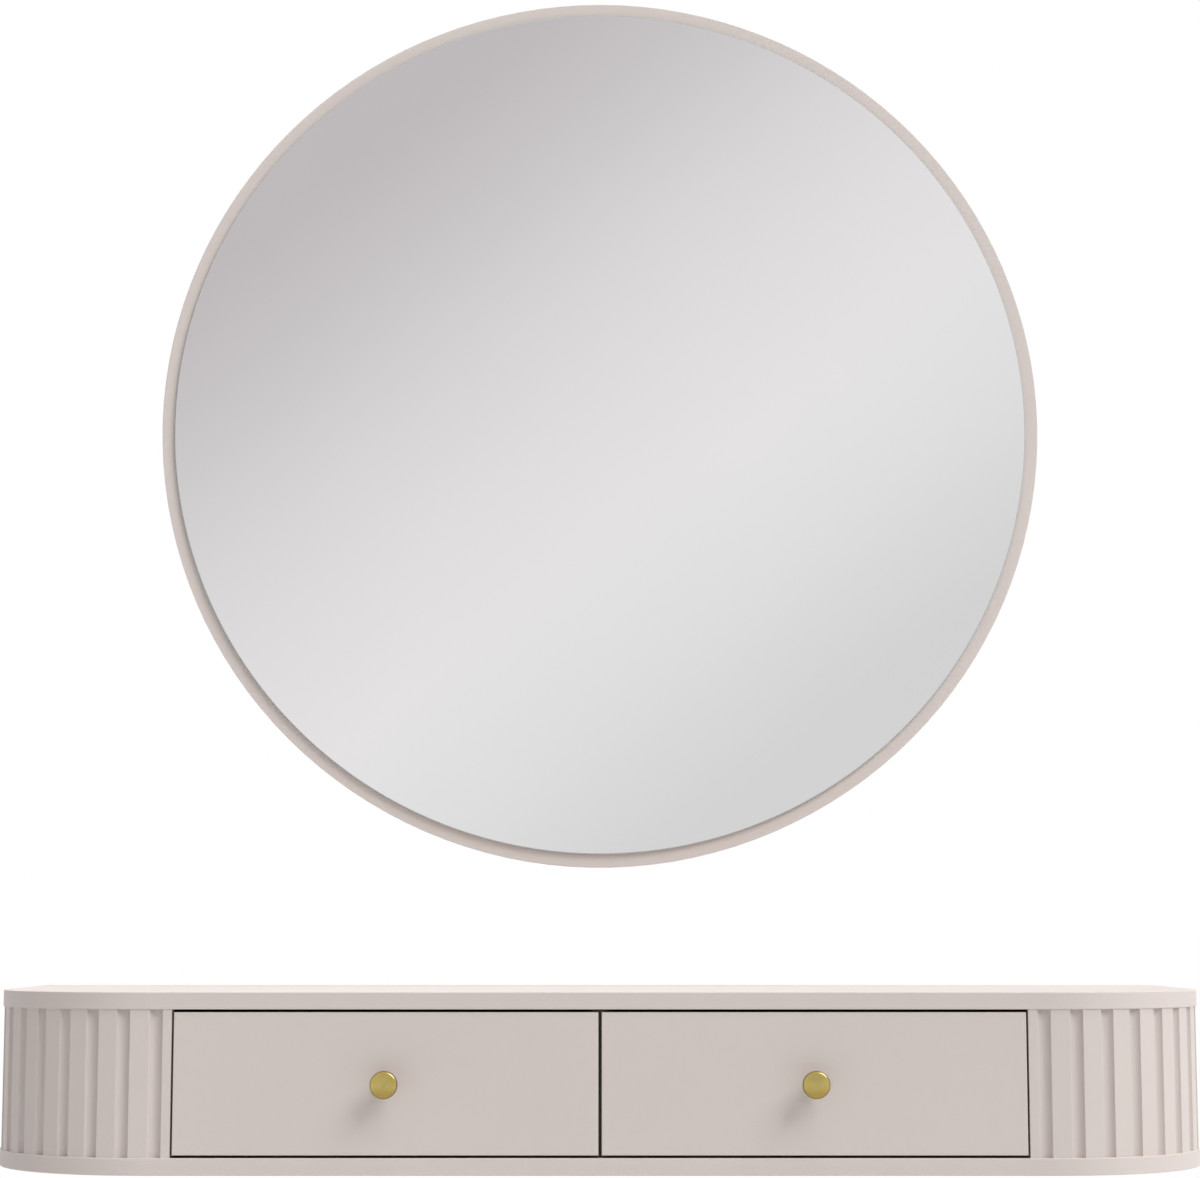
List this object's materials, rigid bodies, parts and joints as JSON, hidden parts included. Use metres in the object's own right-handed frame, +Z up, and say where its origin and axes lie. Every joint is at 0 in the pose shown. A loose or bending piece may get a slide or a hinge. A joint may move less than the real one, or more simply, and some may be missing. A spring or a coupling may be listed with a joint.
{
  "type": "dressing table",
  "caption": "Wall-hung dressing table: a shallow cabinet with fluted rounded ends and small inset drawers with brass knobs, and a round wall mirror above it.",
  "frame": {"origin": "middle of the cabinet's back face, on the wall plane", "axes": "+X to the right as one faces the front, +Y into the wall, +Z up; the front faces -Y"},
  "size_m": [1.1, 0.381, 1.1645],
  "materials": {
    "greige_paint": "satin",
    "rim_paint": "satin",
    "carcass_board": "matte",
    "drawer_board": "matte",
    "drawer_bottom_board": "matte",
    "beech": "matte",
    "brass": "polished",
    "zinc_steel": "satin",
    "mirror": "polished",
    "foam_tape": "matte",
    "soft_pad": "matte"
  },
  "bodies": {
    "cabinet_and_mirror": {"back_panel": "carcass_board", "back_panel_screws": "zinc_steel", "bottom_panel": "greige_paint", "cabinet_rail_screws": "zinc_steel", "carcass_cam_bolts": "zinc_steel", "carcass_cams": "zinc_steel", "carcass_dowels": "beech", "centre_divider": "carcass_board", "cleat_screws": "zinc_steel", "confirmat_screws": "zinc_steel", "drawer_bumpers": "soft_pad", "left_bay_left_rail": "zinc_steel", "left_bay_right_rail": "zinc_steel", "left_fluted_end": "greige_paint", "left_inner_side": "carcass_board", "mirror_board": "rim_paint", "mirror_cleat": "zinc_steel", "mirror_glass": "mirror", "mirror_tape": "foam_tape", "right_bay_left_rail": "zinc_steel", "right_bay_right_rail": "zinc_steel", "right_fluted_end": "greige_paint", "right_inner_side": "carcass_board", "top_panel": "greige_paint", "wall_cleat": "zinc_steel"},
    "left_drawer": {"left_drawer_back": "drawer_board", "left_drawer_bottom": "drawer_bottom_board", "left_drawer_box_screws": "zinc_steel", "left_drawer_cam_bolts": "zinc_steel", "left_drawer_cams": "zinc_steel", "left_drawer_dowels": "beech", "left_drawer_front": "greige_paint", "left_drawer_knob": "brass", "left_drawer_knob_screw": "zinc_steel", "left_drawer_left_rail": "zinc_steel", "left_drawer_left_side": "drawer_board", "left_drawer_rail_screws": "zinc_steel", "left_drawer_right_rail": "zinc_steel", "left_drawer_right_side": "drawer_board"},
    "right_drawer": {"right_drawer_back": "drawer_board", "right_drawer_bottom": "drawer_bottom_board", "right_drawer_box_screws": "zinc_steel", "right_drawer_cam_bolts": "zinc_steel", "right_drawer_cams": "zinc_steel", "right_drawer_dowels": "beech", "right_drawer_front": "greige_paint", "right_drawer_knob": "brass", "right_drawer_knob_screw": "zinc_steel", "right_drawer_left_rail": "zinc_steel", "right_drawer_left_side": "drawer_board", "right_drawer_rail_screws": "zinc_steel", "right_drawer_right_rail": "zinc_steel", "right_drawer_right_side": "drawer_board"},
    "left_middle_rails": {"left_bay_left_middle_rail": "zinc_steel", "left_bay_right_middle_rail": "zinc_steel"},
    "right_middle_rails": {"right_bay_left_middle_rail": "zinc_steel", "right_bay_right_middle_rail": "zinc_steel"}
  },
  "joints": [
    {"name": "left_drawer_slide", "type": "slide", "parent": "cabinet_and_mirror", "child": "left_drawer", "axis": [0, -1, 0], "range_m": [0, 0.28]},
    {"name": "right_drawer_slide", "type": "slide", "parent": "cabinet_and_mirror", "child": "right_drawer", "axis": [0, -1, 0], "range_m": [0, 0.28]},
    {"name": "left_middle_rail_slide", "type": "slide", "parent": "cabinet_and_mirror", "child": "left_middle_rails", "axis": [0, -1, 0], "range_m": [0, 0.14]},
    {"name": "right_middle_rail_slide", "type": "slide", "parent": "cabinet_and_mirror", "child": "right_middle_rails", "axis": [0, -1, 0], "range_m": [0, 0.14]}
  ],
  "couplings": [
    {"joint": "left_middle_rail_slide", "follows": "left_drawer_slide", "ratio": 0.5},
    {"joint": "right_middle_rail_slide", "follows": "right_drawer_slide", "ratio": 0.5}
  ]
}
